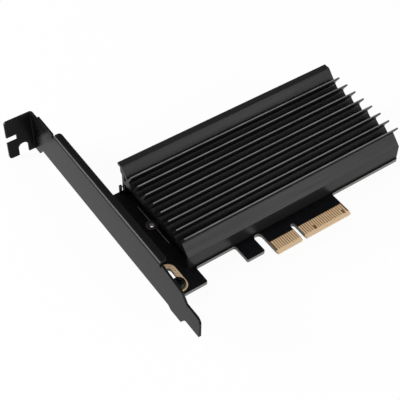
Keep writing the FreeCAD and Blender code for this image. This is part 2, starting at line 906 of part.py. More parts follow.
def make_socket_anchors():
    anchors = []
    sides = ((1, socket_low - size.anchor_wide), (2, socket_low + size.socket_wide))
    for number, across in sides:
        corner = (peg_along - size.anchor_long / 2, across, 0.0)
        lengths = (size.anchor_long, size.anchor_wide, size.anchor_high)
        anchors.append(box(f"SocketAnchor{number}", corner, lengths))
    group(anchors, "socket_anchors")


def chip_row(label, corner, lengths, pitch, count):
    """Set a row of chip parts with end caps on the board, along X."""
    left, low = corner
    long, wide, high = lengths
    step = size.chip_step
    body = new_body(label.title().replace("_", ""))
    middle = sketch_on(body, "XY_Plane", label.title().replace("_", "") + "Middle")
    rectangle(middle, left, low + size.chip_cap, left + wide, low + long - size.chip_cap)
    caps = sketch_on(body, "XY_Plane", label.title().replace("_", "") + "Caps")
    rectangle(caps, left - step, low, left + wide + step, low + size.chip_cap)
    rectangle(caps, left - step, low + long - size.chip_cap, left + wide + step, low + long)
    pieces = [pad(body, middle, high), pad(body, caps, high + step)]
    if count > 1:
        repeat(body, pieces, "X_Axis", pitch, as_length(count))
    finish(body, label)


def make_small_parts():
    chip = (size.chip_long, size.chip_wide, size.chip_high)
    bulk = (size.bulk_long, size.bulk_wide, size.bulk_high)
    front_row = socket_low - size.anchor_wide - size.coupling_gap - size.chip_long
    coupling = (socket_front + size.coupling_inset, front_row)
    chip_row("coupling_capacitors", coupling, chip, size.chip_pitch, 8)
    bulk_left = socket_back + size.contact_tail + size.chip_cap * 2
    bulk_low = size.drive_axis + size.bulk_offset - size.bulk_long
    chip_row("filter_capacitors", (bulk_left, bulk_low), bulk, size.bulk_pitch, 3)
    resistor_low = size.drive_axis - size.resistor_offset
    chip_row("pull_up_resistors", (bulk_left, resistor_low), chip, size.chip_pitch, 5)
    chip_row("status_led", (board_right - size.led_from_edge, front_row), chip, size.chip_pitch, 1)


def make_board_post():
    body = new_body("BoardPost")
    left = sink_left - size.post_gap - size.post_wide / 2
    shape = sketch_on(body, "YZ_Plane", "PostHook", left)
    back = size.board_back
    front = back - size.post_wide
    outline(shape, [
        (front, 0.0),
        (back, 0.0),
        (back, size.post_high, size.post_wide / 3),
        (front - size.post_hook / 2, size.post_high),
        (front - size.post_hook / 2, size.post_high - size.post_hook / 2),
        (front, size.post_high - size.post_hook),
    ])
    pad(body, shape, size.post_wide)
    finish(body, "board_post")


make_circuit_board()
make_edge_contacts()
make_ground_pads()
make_bracket()
make_bracket_screws()
make_heatsink()
make_heatsink_screws()
make_thermal_pad()
make_drive_nuts()
make_drive_socket()
make_socket_anchors()
make_small_parts()
make_board_post()
doc.recompute()

for item in doc.Objects:
    if {"Invalid", "Error"} & set(item.State):
        raise RuntimeError(f"{item.Name} did not build: {item.State}")
for item in finished:
    if item.Shape.isNull() or not item.Shape.isValid() or not item.Shape.Solids:
        raise RuntimeError(f"{item.Label} has no sound shape")

os.makedirs("parts", exist_ok=True)
for item in finished:
    item.Shape.exportStep(f"parts/{item.Label}.step")
    print(item.Label, len(item.Shape.Solids), "solids", round(item.Shape.Volume, 2))
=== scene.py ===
"""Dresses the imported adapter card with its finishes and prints, and sets its floor, light and camera."""

import logging
import math
from dataclasses import dataclass
from enum import Enum

import bmesh
import bpy
from mathutils import Matrix, Vector

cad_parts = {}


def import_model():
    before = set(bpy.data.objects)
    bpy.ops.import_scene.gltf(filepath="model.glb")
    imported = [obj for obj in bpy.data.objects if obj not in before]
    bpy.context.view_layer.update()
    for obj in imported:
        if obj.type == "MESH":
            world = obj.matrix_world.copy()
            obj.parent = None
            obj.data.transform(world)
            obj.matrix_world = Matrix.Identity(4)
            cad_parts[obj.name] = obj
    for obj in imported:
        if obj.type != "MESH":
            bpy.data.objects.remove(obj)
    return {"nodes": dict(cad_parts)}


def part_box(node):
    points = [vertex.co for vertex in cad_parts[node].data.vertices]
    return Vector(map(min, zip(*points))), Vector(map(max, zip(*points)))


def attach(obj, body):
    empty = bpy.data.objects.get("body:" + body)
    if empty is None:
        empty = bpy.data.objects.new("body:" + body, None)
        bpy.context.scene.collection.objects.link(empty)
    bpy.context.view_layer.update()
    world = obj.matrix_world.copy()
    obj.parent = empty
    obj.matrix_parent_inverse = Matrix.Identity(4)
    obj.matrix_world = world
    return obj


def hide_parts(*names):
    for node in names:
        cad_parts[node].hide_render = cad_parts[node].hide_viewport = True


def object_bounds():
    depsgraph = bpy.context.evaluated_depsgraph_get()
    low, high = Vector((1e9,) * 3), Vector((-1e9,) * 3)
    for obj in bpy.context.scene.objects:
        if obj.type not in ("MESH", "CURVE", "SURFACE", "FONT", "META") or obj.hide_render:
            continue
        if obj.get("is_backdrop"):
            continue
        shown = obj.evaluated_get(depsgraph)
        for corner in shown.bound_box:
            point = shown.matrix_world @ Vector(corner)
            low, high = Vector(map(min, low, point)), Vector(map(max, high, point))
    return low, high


MM = 0.001
LOG = logging.getLogger("adapter_card")

# The places of a colour mix's factor, its two colours and its result among its sockets.
MIX_SHARE, MIX_FIRST, MIX_SECOND, MIX_RESULT = 0, 6, 7, 2

Colour = tuple[float, float, float]
Triple = tuple[float, float, float]
Point = tuple[float, float]
Socket = bpy.types.NodeSocket
Tree = bpy.types.NodeTree

WHITE: Colour = (1.0, 1.0, 1.0)


class Pattern(Enum):
    """The named surface pattern that a finish carries over its grain."""

    PLAIN = "plain"
    BOARD = "board"
    FINNED = "finned"
    FOLDED = "folded"
    CONTACT = "contact"


@dataclass(frozen=True)
class Finish:
    """A surface finish: colours, gloss, the size and direction of its grain, and its worn edges, whose
    pale colour is edge wear and, on the anodised and coated finishes, also a painted highlight on edges,
    fin tips and folds.
    """

    name: str
    colour: Colour
    shade: Colour
    # Pale colour of worn edges; on the anodised and coated finishes it is also a painted highlight.
    worn_and_highlight: Colour
    roughness: tuple[float, float]
    metallic: float = 0.0
    coat: float = 0.0
    specular: float = 0.5
    grain: float = 900.0
    stretch: Triple = (1.0, 1.0, 1.0)
    depth: float = 0.004 * MM
    edge: float = 0.06 * MM
    # How strongly and how widely edges take the pale colour: edge wear, and partly a painted edge
    # highlight.
    wear_and_highlight: float = 0.5
    wear_and_highlight_width: float = 0.12 * MM
    pattern: Pattern = Pattern.PLAIN


SOLDER_MASK = Finish(
    "solder_mask", (0.0042, 0.0044, 0.0056), (0.0022, 0.0024, 0.0032), (0.04, 0.04, 0.042),
    (0.34, 0.46), specular=0.14, grain=1400.0, depth=0.003 * MM, wear_and_highlight=0.12, pattern=Pattern.BOARD,
)
GOLD_PLATE = Finish(
    "gold_plate", (1.0, 0.72, 0.43), (0.93, 0.62, 0.35), (0.97, 0.8, 0.58),
    (0.3, 0.46), metallic=0.3, grain=2600.0, stretch=(1.0, 0.15, 1.0), depth=0.002 * MM,
    pattern=Pattern.CONTACT,
)
# Its pale worn colour is edge wear and also the painted highlight along the folds and edges.
COATED_STEEL = Finish(
    "coated_steel", (0.01, 0.01, 0.0105), (0.006, 0.006, 0.0064), (0.1, 0.1, 0.104),
    (0.24, 0.32), specular=0.06, grain=2400.0, depth=0.002 * MM, edge=0.22 * MM,
    wear_and_highlight_width=0.16 * MM, pattern=Pattern.FOLDED,
)
BLACK_OXIDE = Finish(
    "black_oxide", (0.01, 0.01, 0.011), (0.006, 0.006, 0.007), (0.08, 0.075, 0.07),
    (0.3, 0.5), metallic=0.6, grain=3000.0, depth=0.003 * MM, wear_and_highlight=0.7,
)
# Its pale worn colour is edge wear and also the painted highlight lines along the fin tips and edges.
BLACK_ANODISED = Finish(
    "black_anodised", (0.015, 0.015, 0.0155), (0.01, 0.01, 0.0104), (0.24, 0.24, 0.24),
    (0.3, 0.4), specular=0.18, grain=1800.0, stretch=(0.02, 1.0, 1.0), depth=0.003 * MM,
    edge=0.04 * MM, wear_and_highlight=0.25, wear_and_highlight_width=0.1 * MM, pattern=Pattern.FINNED,
)
GAP_PAD = Finish(
    "gap_pad", (0.3, 0.35, 0.43), (0.24, 0.28, 0.36), (0.34, 0.39, 0.47),
    (0.75, 0.9), grain=1500.0, depth=0.02 * MM,
)
TIN_PLATE = Finish(
    "tin_plate", (0.1, 0.088, 0.082), (0.06, 0.052, 0.05), (0.24, 0.22, 0.2),
    (0.4, 0.56), metallic=1.0, grain=2500.0,
)
SOCKET_PLASTIC = Finish(
    "socket_plastic", (0.012, 0.012, 0.013), (0.008, 0.008, 0.009), (0.03, 0.03, 0.03),
    (0.5, 0.65), grain=3500.0, depth=0.005 * MM,
)
CHIP_CERAMIC = Finish(
    "chip_ceramic", (0.33, 0.22, 0.13), (0.27, 0.18, 0.1), (0.42, 0.32, 0.22),
    (0.35, 0.5), grain=4000.0, depth=0.003 * MM,
)
CHIP_GLAZE = Finish(
    "chip_glaze", (0.014, 0.014, 0.016), (0.01, 0.01, 0.011), (0.4, 0.38, 0.35),
    (0.2, 0.35), grain=4000.0, depth=0.002 * MM,
)
LAMP_LENS = Finish(
    "lamp_lens", (0.72, 0.76, 0.66), (0.64, 0.68, 0.58), (0.82, 0.84, 0.78),
    (0.15, 0.25), coat=0.4, grain=3000.0, depth=0.002 * MM,
)
PRINT_INK = Finish(
    "print_ink", (0.32, 0.32, 0.33), (0.22, 0.22, 0.23), (0.4, 0.4, 0.4),
    (0.6, 0.75), grain=6000.0, depth=0.002 * MM,
)
VIA_DARK = Finish(
    "via_dark", (0.05, 0.03, 0.018), (0.03, 0.02, 0.012), (0.2, 0.14, 0.08),
    (0.5, 0.7), grain=5000.0, depth=0.002 * MM,
)

NODE_FINISHES: dict[str, Finish] = {
    "circuit_board": SOLDER_MASK,
    "edge_contacts_front": GOLD_PLATE,
    "edge_contacts_back": GOLD_PLATE,
    "ground_pads_front": GOLD_PLATE,
    "ground_pads_back": GOLD_PLATE,
    "socket_contacts": GOLD_PLATE,
    "bracket": COATED_STEEL,
    "bracket_screws": BLACK_OXIDE,
    "heatsink_screws": BLACK_OXIDE,
    "thermal_pad": GAP_PAD,
    "drive_nuts": TIN_PLATE,
    "socket_anchors": TIN_PLATE,
    "drive_socket": SOCKET_PLASTIC,
    "board_post": SOCKET_PLASTIC,
    "coupling_capacitors": CHIP_CERAMIC,
    "filter_capacitors": CHIP_CERAMIC,
    "pull_up_resistors": CHIP_GLAZE,
    "status_led": LAMP_LENS,
}


@dataclass(frozen=True)
class Ramp:
    """A straight ramp: what comes in from start to stop goes out from low to high."""

    start: float
    stop: float
    low: float = 0.0
    high: float = 1.0


def add_node(
    tree: Tree, kind: str, wires: dict[object, object] | None = None, **settings: object
) -> bpy.types.Node:
    """Add a node to a tree, set it and wire it.

    Args:
        tree: The tree that takes the node.
        kind: The node's type.
        wires: Sockets by name or index, with the socket or value that each takes.
        settings: Properties of the node.

    Returns:
        The new node.
    """
    made = tree.nodes.new(kind)
    for name, value in settings.items():
        setattr(made, name, value)
    for key, value in (wires or {}).items():
        if isinstance(value, Socket):
            tree.links.new(value, made.inputs[key])
        else:
            made.inputs[key].default_value = value
    return made


def calculate(tree: Tree, operation: str, *terms: object, clamp: bool = False) -> Socket:
    """Work out one number from others.

    Args:
        tree: The tree that takes the node.
        operation: The kind of sum, such as MULTIPLY.
        terms: Its terms, sockets or numbers.
        clamp: Whether the result is held between 0 and 1.

    Returns:
        The result.
    """
    made = add_node(tree, "ShaderNodeMath", dict(enumerate(terms)), operation=operation, use_clamp=clamp)
    return made.outputs[0]


def follow_ramp(tree: Tree, value: Socket, ramp: Ramp) -> Socket:
    """Put a number through a ramp.

    Args:
        tree: The tree that takes the node.
        value: The number.
        ramp: The ramp.

    Returns:
        The ramp's height there, held between its ends.
    """
    wires = {
        "Value": value, "From Min": ramp.start, "From Max": ramp.stop,
        "To Min": ramp.low, "To Max": ramp.high,
    }
    return add_node(tree, "ShaderNodeMapRange", wires).outputs[0]


def add_noise(tree: Tree, place: Socket, scale: object, detail: float) -> Socket:
    """Add a noise.

    Args:
        tree: The tree that takes the node.
        place: The point that the noise is read at.
        scale: Its waves in each metre, a socket or a number.
        detail: How many finer layers it has.

    Returns:
        The noise's height, about 0.5 in the middle.
    """
    wires = {"Vector": place, "Scale": scale, "Detail": detail}
    return add_node(tree, "ShaderNodeTexNoise", wires).outputs[0]


def mix_colour(tree: Tree, share: Socket, first: object, second: object) -> Socket:
    """Mix two colours.

    Args:
        tree: The tree that takes the node.
        share: The factor.
        first: The colour at 0, a socket or four numbers.
        second: The colour at 1.

    Returns:
        The mixed colour.
    """
    wires = {MIX_SHARE: share, MIX_FIRST: first, MIX_SECOND: second}
    return add_node(tree, "ShaderNodeMix", wires, data_type="RGBA").outputs[MIX_RESULT]


def opaque(colour: Colour) -> tuple[float, float, float, float]:
    """Give a colour its alpha of 1."""
    return (*colour, 1.0)


class GroupBuilder:
    """A node group under construction, with short calls for its inputs and outputs."""

    def __init__(self, name: str) -> None:
        """Start an empty group.

        Args:
            name: The group's name.
        """
        self.tree = bpy.data.node_groups.new(name, "ShaderNodeTree")
        self.given = self.tree.nodes.new("NodeGroupInput")
        self.result = self.tree.nodes.new("NodeGroupOutput")

    def take(self, name: str, kind: str, default: object) -> Socket:
        """Add a named input.

        Args:
            name: The socket's name.
            kind: The socket's type, such as NodeSocketFloat.
            default: Its value where nothing is linked.

        Returns:
            The input, as the nodes in the group read it.
        """
        socket = self.tree.interface.new_socket(name=name, in_out="INPUT", socket_type=kind)
        socket.default_value = default
        return self.given.outputs[name]

    def give(self, name: str, kind: str, source: Socket) -> None:
        """Add a named output and wire it.

        Args:
            name: The socket's name.
            kind: The socket's type.
            source: What feeds it.
        """
        self.tree.interface.new_socket(name=name, in_out="OUTPUT", socket_type=kind)
        self.tree.links.new(source, self.result.inputs[name])


@dataclass(frozen=True)
class SurfaceGrain:
    """The grain effect: stretched noise as a value, and as a fine relief on broken edges."""

    fine_detail: float = 4.0
    broad_scale: float = 45.0
    broad_detail: float = 3.0
    edge_samples: int = 6

    def build(self) -> Tree:
        """Build the effect.

        Returns:
            The node group, with outputs Value, Broad and Normal.
        """
        group = GroupBuilder("surface_grain")
        scale = group.take("Scale", "NodeSocketFloat", Finish.grain)
        stretch = group.take("Stretch", "NodeSocketVector", Finish.stretch)
        depth = group.take("Depth", "NodeSocketFloat", Finish.depth)
        edge = group.take("Edge", "NodeSocketFloat", Finish.edge)
        tree = group.tree
        place = add_node(tree, "ShaderNodeTexCoord").outputs["Object"]
        scaled = add_node(tree, "ShaderNodeVectorMath", {0: place, 1: stretch}, operation="MULTIPLY")
        fine = add_noise(tree, scaled.outputs[0], scale, self.fine_detail)
        broad = add_noise(tree, place, self.broad_scale, self.broad_detail)
        rounded = add_node(tree, "ShaderNodeBevel", {"Radius": edge}, samples=self.edge_samples)
        relief = add_node(
            tree, "ShaderNodeBump",
            {"Height": fine, "Distance": depth, "Strength": 1.0, "Normal": rounded.outputs[0]},
        )
        group.give("Value", "NodeSocketFloat", fine)
        group.give("Broad", "NodeSocketFloat", broad)
        group.give("Normal", "NodeSocketVector", relief.outputs[0])
        return tree


@dataclass(frozen=True)
class EdgeWearAndHighlight:
    """The edge wear and painted edge highlight effect: a mask that is high on sharp edges and broken by
    noise; the pale colour laid on through it is partly wear and partly a painted highlight.
    """

    edge_samples: int = 4
    turned: Ramp = Ramp(0.995, 0.8)
    break_scale: float = 700.0
    break_detail: float = 4.0
    breaks: Ramp = Ramp(0.3, 0.65, 0.35, 1.0)

    def build(self) -> Tree:
        """Build the effect.

        Returns:
            The node group, with output Mask.
        """
        group = GroupBuilder("edge_wear_and_highlight")
        width = group.take("Width", "NodeSocketFloat", Finish.wear_and_highlight_width)
        amount = group.take("Amount", "NodeSocketFloat", Finish.wear_and_highlight)
        tree = group.tree
        rounded = add_node(tree, "ShaderNodeBevel", {"Radius": width}, samples=self.edge_samples)
        flat = add_node(tree, "ShaderNodeNewGeometry")
        facing = add_node(
            tree, "ShaderNodeVectorMath", {0: rounded.outputs[0], 1: flat.outputs["Normal"]},
            operation="DOT_PRODUCT",
        )
        edge = follow_ramp(tree, facing.outputs["Value"], self.turned)
        place = add_node(tree, "ShaderNodeTexCoord").outputs["Object"]
        broken = add_noise(tree, place, self.break_scale, self.break_detail)
        torn = calculate(tree, "MULTIPLY", edge, follow_ramp(tree, broken, self.breaks))
        group.give("Mask", "NodeSocketFloat", calculate(tree, "MULTIPLY", torn, amount, clamp=True))
        return tree


@dataclass(frozen=True)
class BoardFaces:
    """The board's look: faint copper tracks, bare laminate by the contacts, and its cut edges."""

    track_scale: float = 190.0
    track_line: Ramp = Ramp(0.03, 0.05, 0.5, 0.0)
    track: Colour = (0.0075, 0.0079, 0.0096)
    bare_below: Ramp = Ramp(6.1 * MM, 5.9 * MM)
    bare_beside: Ramp = Ramp(-13.2 * MM, -12.8 * MM)
    bare: Colour = (0.19, 0.1, 0.043)
    cut_facing: Ramp = Ramp(0.85, 0.4)
    cut: Colour = (0.2, 0.2, 0.19)
    bevel_facing: Ramp = Ramp(0.99, 0.96)
    bevel_below: Ramp = Ramp(1.6 * MM, 1.4 * MM)
    bevel: Colour = (0.74, 0.54, 0.34)

    def paint(self, tree: Tree, coat: Socket) -> Socket:
        """Colour the board.

        Args:
            tree: The board's material tree.
            coat: The plain colour of the coated face.

        Returns:
            The board's colour.
        """
        place = add_node(tree, "ShaderNodeTexCoord")
        facing = add_node(tree, "ShaderNodeSeparateXYZ", {0: place.outputs["Normal"]})
        spot = add_node(tree, "ShaderNodeSeparateXYZ", {0: place.outputs["Object"]})
        upright = calculate(tree, "ABSOLUTE", facing.outputs["Z"])
        cells = add_node(
            tree, "ShaderNodeTexVoronoi", {"Vector": place.outputs["Object"], "Scale": self.track_scale},
            feature="DISTANCE_TO_EDGE", distance="MANHATTAN",
        )
        lines = follow_ramp(tree, cells.outputs[0], self.track_line)
        tracked = mix_colour(tree, lines, coat, opaque(self.track))
        below = follow_ramp(tree, spot.outputs["Y"], self.bare_below)
        beside = follow_ramp(tree, spot.outputs["X"], self.bare_beside)
        uncoated = calculate(tree, "MULTIPLY", below, beside)
        faces = mix_colour(tree, uncoated, tracked, opaque(self.bare))
        sides = follow_ramp(tree, upright, self.cut_facing)
        edged = mix_colour(tree, sides, faces, opaque(self.cut))
        slanted = follow_ramp(tree, upright, self.bevel_facing)
        front = follow_ramp(tree, spot.outputs["Y"], self.bevel_below)
        return mix_colour(tree, calculate(tree, "MULTIPLY", slanted, front), edged, opaque(self.bevel))


@dataclass(frozen=True)
class FinTipHighlights:
    """The fins' look: a painted highlight along their tips, broken into patches by noise."""

    tip_highlight: Colour
    fin_top: float = 14.6 * MM
    highlight_start: float = 0.06 * MM
    highlight_full: float = 0.01 * MM
    last_fin: float = 50.36 * MM
    fade_start: float = 1.0 * MM
    fade_stop: float = 1.1 * MM
    patch_scale: float = 160.0
    patch_detail: float = 3.0
    patches: Ramp = Ramp(0.3, 0.7, 0.55, 1.0)

    def paint(self, tree: Tree, coat: Socket) -> Socket:
        """Paint the highlight along the fin tips.

        Args:
            tree: The heatsink's material tree.
            coat: The coat's own colour.

        Returns:
            The heatsink's colour, with the painted tip highlight.
        """
        place = add_node(tree, "ShaderNodeTexCoord").outputs["Object"]
        spot = add_node(tree, "ShaderNodeSeparateXYZ", {0: place})
        # Painted highlight: the pale colour lies along the top of each fin, in front of the crest.
        tips = Ramp(self.fin_top - self.highlight_start, self.fin_top - self.highlight_full)
        fins = Ramp(self.last_fin + self.fade_start, self.last_fin + self.fade_stop, 1.0, 0.0)
        high = follow_ramp(tree, spot.outputs["Z"], tips)
        on_fins = follow_ramp(tree, spot.outputs["Y"], fins)
        noise = add_noise(tree, place, self.patch_scale, self.patch_detail)
        patchy = follow_ramp(tree, noise, self.patches)
        highlight_mask = calculate(tree, "MULTIPLY", calculate(tree, "MULTIPLY", high, on_fins), patchy)
        return mix_colour(tree, highlight_mask, coat, opaque(self.tip_highlight))


@dataclass(frozen=True)
class FoldHighlights:
    """Folded sheet's look: a painted highlight along the folds."""

    rub_and_highlight: Colour
    halfway: Ramp = Ramp(-0.38, -0.49, 0.0, 0.8)

    def paint(self, tree: Tree, coat: Socket) -> Socket:
        """Paint the highlight along the folds of the sheet.

        Args:
            tree: The bracket's material tree.
            coat: The coat's own colour.

        Returns:
            The bracket's colour, with the painted fold highlight.
        """
        place = add_node(tree, "ShaderNodeTexCoord")
        facing = add_node(tree, "ShaderNodeSeparateXYZ", {0: place.outputs["Normal"]})
        # Halfway round a fold two parts of the normal are equal in size and opposite in sign, so
        # that their product is -0.5.
        lengthwise = calculate(tree, "MULTIPLY", facing.outputs["X"], facing.outputs["Z"])
        upright = calculate(tree, "MULTIPLY", facing.outputs["X"], facing.outputs["Y"])
        least = calculate(tree, "MINIMUM", lengthwise, upright)
        # Painted highlight: the pale colour lies halfway round each fold.
        return mix_colour(tree, follow_ramp(tree, least, self.halfway), coat, opaque(self.rub_and_highlight))


@dataclass(frozen=True)
class ContactMarks:
    """Plated copper's look: slightly paler where insertion rubs it."""

    mark_scale: float = 260.0
    mark_detail: float = 2.0
    marks: Ramp = Ramp(0.5, 0.7, 0.0, 0.5)
    rub_and_highlight: Colour = (0.93, 0.74, 0.48)

    def paint(self, tree: Tree, plate: Socket) -> Socket:
        """Colour the plate.

        Args:
            tree: The material tree.
            plate: The plate's own colour.

        Returns:
            The plate's colour with its rub marks.
        """
        place = add_node(tree, "ShaderNodeTexCoord").outputs["Object"]
        noise = add_noise(tree, place, self.mark_scale, self.mark_detail)
        return mix_colour(tree, follow_ramp(tree, noise, self.marks), plate, opaque(self.rub_and_highlight))


class FinishShop:
    """Makes each finish's material once, and shares its node groups among them."""

    # The span of the grain's value over which a finish goes from its glossiest to its dullest.
    GRAIN_SPAN = (0.3, 0.7)

    def __init__(self) -> None:
        """Build the shared effects."""
        self.grain = SurfaceGrain().build()
        self.wear_and_highlight = EdgeWearAndHighlight().build()
        self.made: dict[str, bpy.types.Material] = {}

    def material(self, finish: Finish) -> bpy.types.Material:
        """Make a finish's material, or find it where it was made before.

        Args:
            finish: The finish.

        Returns:
            Its material.
        """
        if finish.name not in self.made:
            self.made[finish.name] = self.build(finish)
        return self.made[finish.name]

    def build(self, finish: Finish) -> bpy.types.Material:
        """Build the material of a finish.

        Args:
            finish: The finish.

        Returns:
            The new material.
        """
        material = bpy.data.materials.new(finish.name)
        material.use_nodes = True
        tree = material.node_tree
        shader = tree.nodes["Principled BSDF"]
        shader.inputs["Metallic"].default_value = finish.metallic
        shader.inputs["Coat Weight"].default_value = finish.coat
        shader.inputs["Specular IOR Level"].default_value = finish.specular
        grain = add_node(tree, "ShaderNodeGroup", node_tree=self.grain)
        grain.inputs["Scale"].default_value = finish.grain
        grain.inputs["Stretch"].default_value = finish.stretch
        grain.inputs["Depth"].default_value = finish.depth
        grain.inputs["Edge"].default_value = finish.edge
        wear_and_highlight = add_node(tree, "ShaderNodeGroup", node_tree=self.wear_and_highlight)
        wear_and_highlight.inputs["Width"].default_value = finish.wear_and_highlight_width
        wear_and_highlight.inputs["Amount"].default_value = finish.wear_and_highlight
        base = mix_colour(tree, grain.outputs["Broad"], opaque(finish.shade), opaque(finish.colour))
        patterned = self.add_pattern(tree, base, finish)
        # Edge wear, and on the anodised and coated finishes a painted edge highlight.
        worn_and_highlight = mix_colour(tree, wear_and_highlight.outputs["Mask"], patterned, opaque(finish.worn_and_highlight))
        rough = follow_ramp(tree, grain.outputs["Value"], Ramp(*self.GRAIN_SPAN, *finish.roughness))
        tree.links.new(worn_and_highlight, shader.inputs["Base Color"])
        tree.links.new(rough, shader.inputs["Roughness"])
        tree.links.new(grain.outputs["Normal"], shader.inputs["Normal"])
        return material

    def add_pattern(self, tree: Tree, base: Socket, finish: Finish) -> Socket:
        """Lay a finish's pattern over its plain colour.

        Args:
            tree: The material tree.
            base: The plain colour.
            finish: The finish.

        Returns:
            The colour with the pattern.
        """
        if finish.pattern is Pattern.BOARD:
            return BoardFaces().paint(tree, base)
        if finish.pattern is Pattern.FINNED:
            return FinTipHighlights(finish.worn_and_highlight).paint(tree, base)
        if finish.pattern is Pattern.FOLDED:
            return FoldHighlights(finish.worn_and_highlight).paint(tree, base)
        if finish.pattern is Pattern.CONTACT:
            return ContactMarks().paint(tree, base)
        return base


def finished_mesh(name: str, shape: bmesh.types.BMesh) -> bpy.types.Mesh:
    """Turn a shape into mesh data, and let the shape go.

    Args:
        name: The mesh's name.
        shape: The shape.

    Returns:
        The mesh data.
    """
    data = bpy.data.meshes.new(name)
    shape.to_mesh(data)
    shape.free()
    return data


def placed_object(name: str, data: bpy.types.ID) -> bpy.types.Object:
    """Put an object into the scene.

    Args:
        name: The object's name.
        data: Its mesh, lamp or camera.

    Returns:
        The object.
    """
    made = bpy.data.objects.new(name, data)
    bpy.context.scene.collection.objects.link(made)
    return made


@dataclass
class CardBody:
    """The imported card: each node keeps its mesh and gets its finish."""

    shop: FinishShop
    nodes: dict[str, bpy.types.Object]

    def dress(self) -> None:
        """Give every node its finish."""
        for name, finish in NODE_FINISHES.items():
            node = self.nodes[name]
            node.data.materials.clear()
            node.data.materials.append(self.shop.material(finish))
            LOG.info("dressed %s in %s", name, finish.name)


@dataclass
class FinnedSink:
    """The heatsink: its front slope is one flat face, from the skirt up to the first fin."""

    shop: FinishShop
    name: str = "finned_heatsink"
    line_across: float = 14.35 * MM
    line_high: float = 8.4 * MM
    line_rise: float = 0.927
    zone_across: float = 16.6 * MM
    zone_low: float = 7.0 * MM
    zone_high: float = 10.6 * MM
    weld: float = 0.002 * MM
    slope_weld: float = 0.01 * MM
    crease: float = math.radians(25.0)

    def build(self, packed: bpy.types.Object) -> None:
        """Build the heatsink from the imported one, with its front slope made flat.

        Args:
            packed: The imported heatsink.
        """
        data = finished_mesh(self.name, self.flat_slope(packed))
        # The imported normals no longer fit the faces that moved.
        if "custom_normal" in data.attributes:
            data.attributes.remove(data.attributes["custom_normal"])
        data.shade_smooth()
        data.set_sharp_from_angle(angle=self.crease)
        data.materials.append(self.shop.material(BLACK_ANODISED))
        piece = placed_object(self.name, data)
        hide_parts("heatsink")
        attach(piece, "root")
        LOG.info("built %s", self.name)

    def flat_slope(self, packed: bpy.types.Object) -> bmesh.types.BMesh:
        """Move the front slope's points onto one plane, and clean up what falls together.

        Args:
            packed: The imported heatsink.

        Returns:
            The new shape.
        """
        shape = bmesh.new()
        shape.from_mesh(packed.data)
        bmesh.ops.remove_doubles(shape, verts=shape.verts, dist=self.weld)
        for vertex in shape.verts:
            across, high = vertex.co.y, vertex.co.z
            if across < self.zone_across and self.zone_low < high < self.zone_high:
                vertex.co.z = self.line_high + (across - self.line_across) * self.line_rise
        bmesh.ops.remove_doubles(shape, verts=shape.verts, dist=self.slope_weld)
        bmesh.ops.dissolve_degenerate(shape, dist=self.weld, edges=shape.edges)
        bmesh.ops.recalc_face_normals(shape, faces=shape.faces)
        return shape


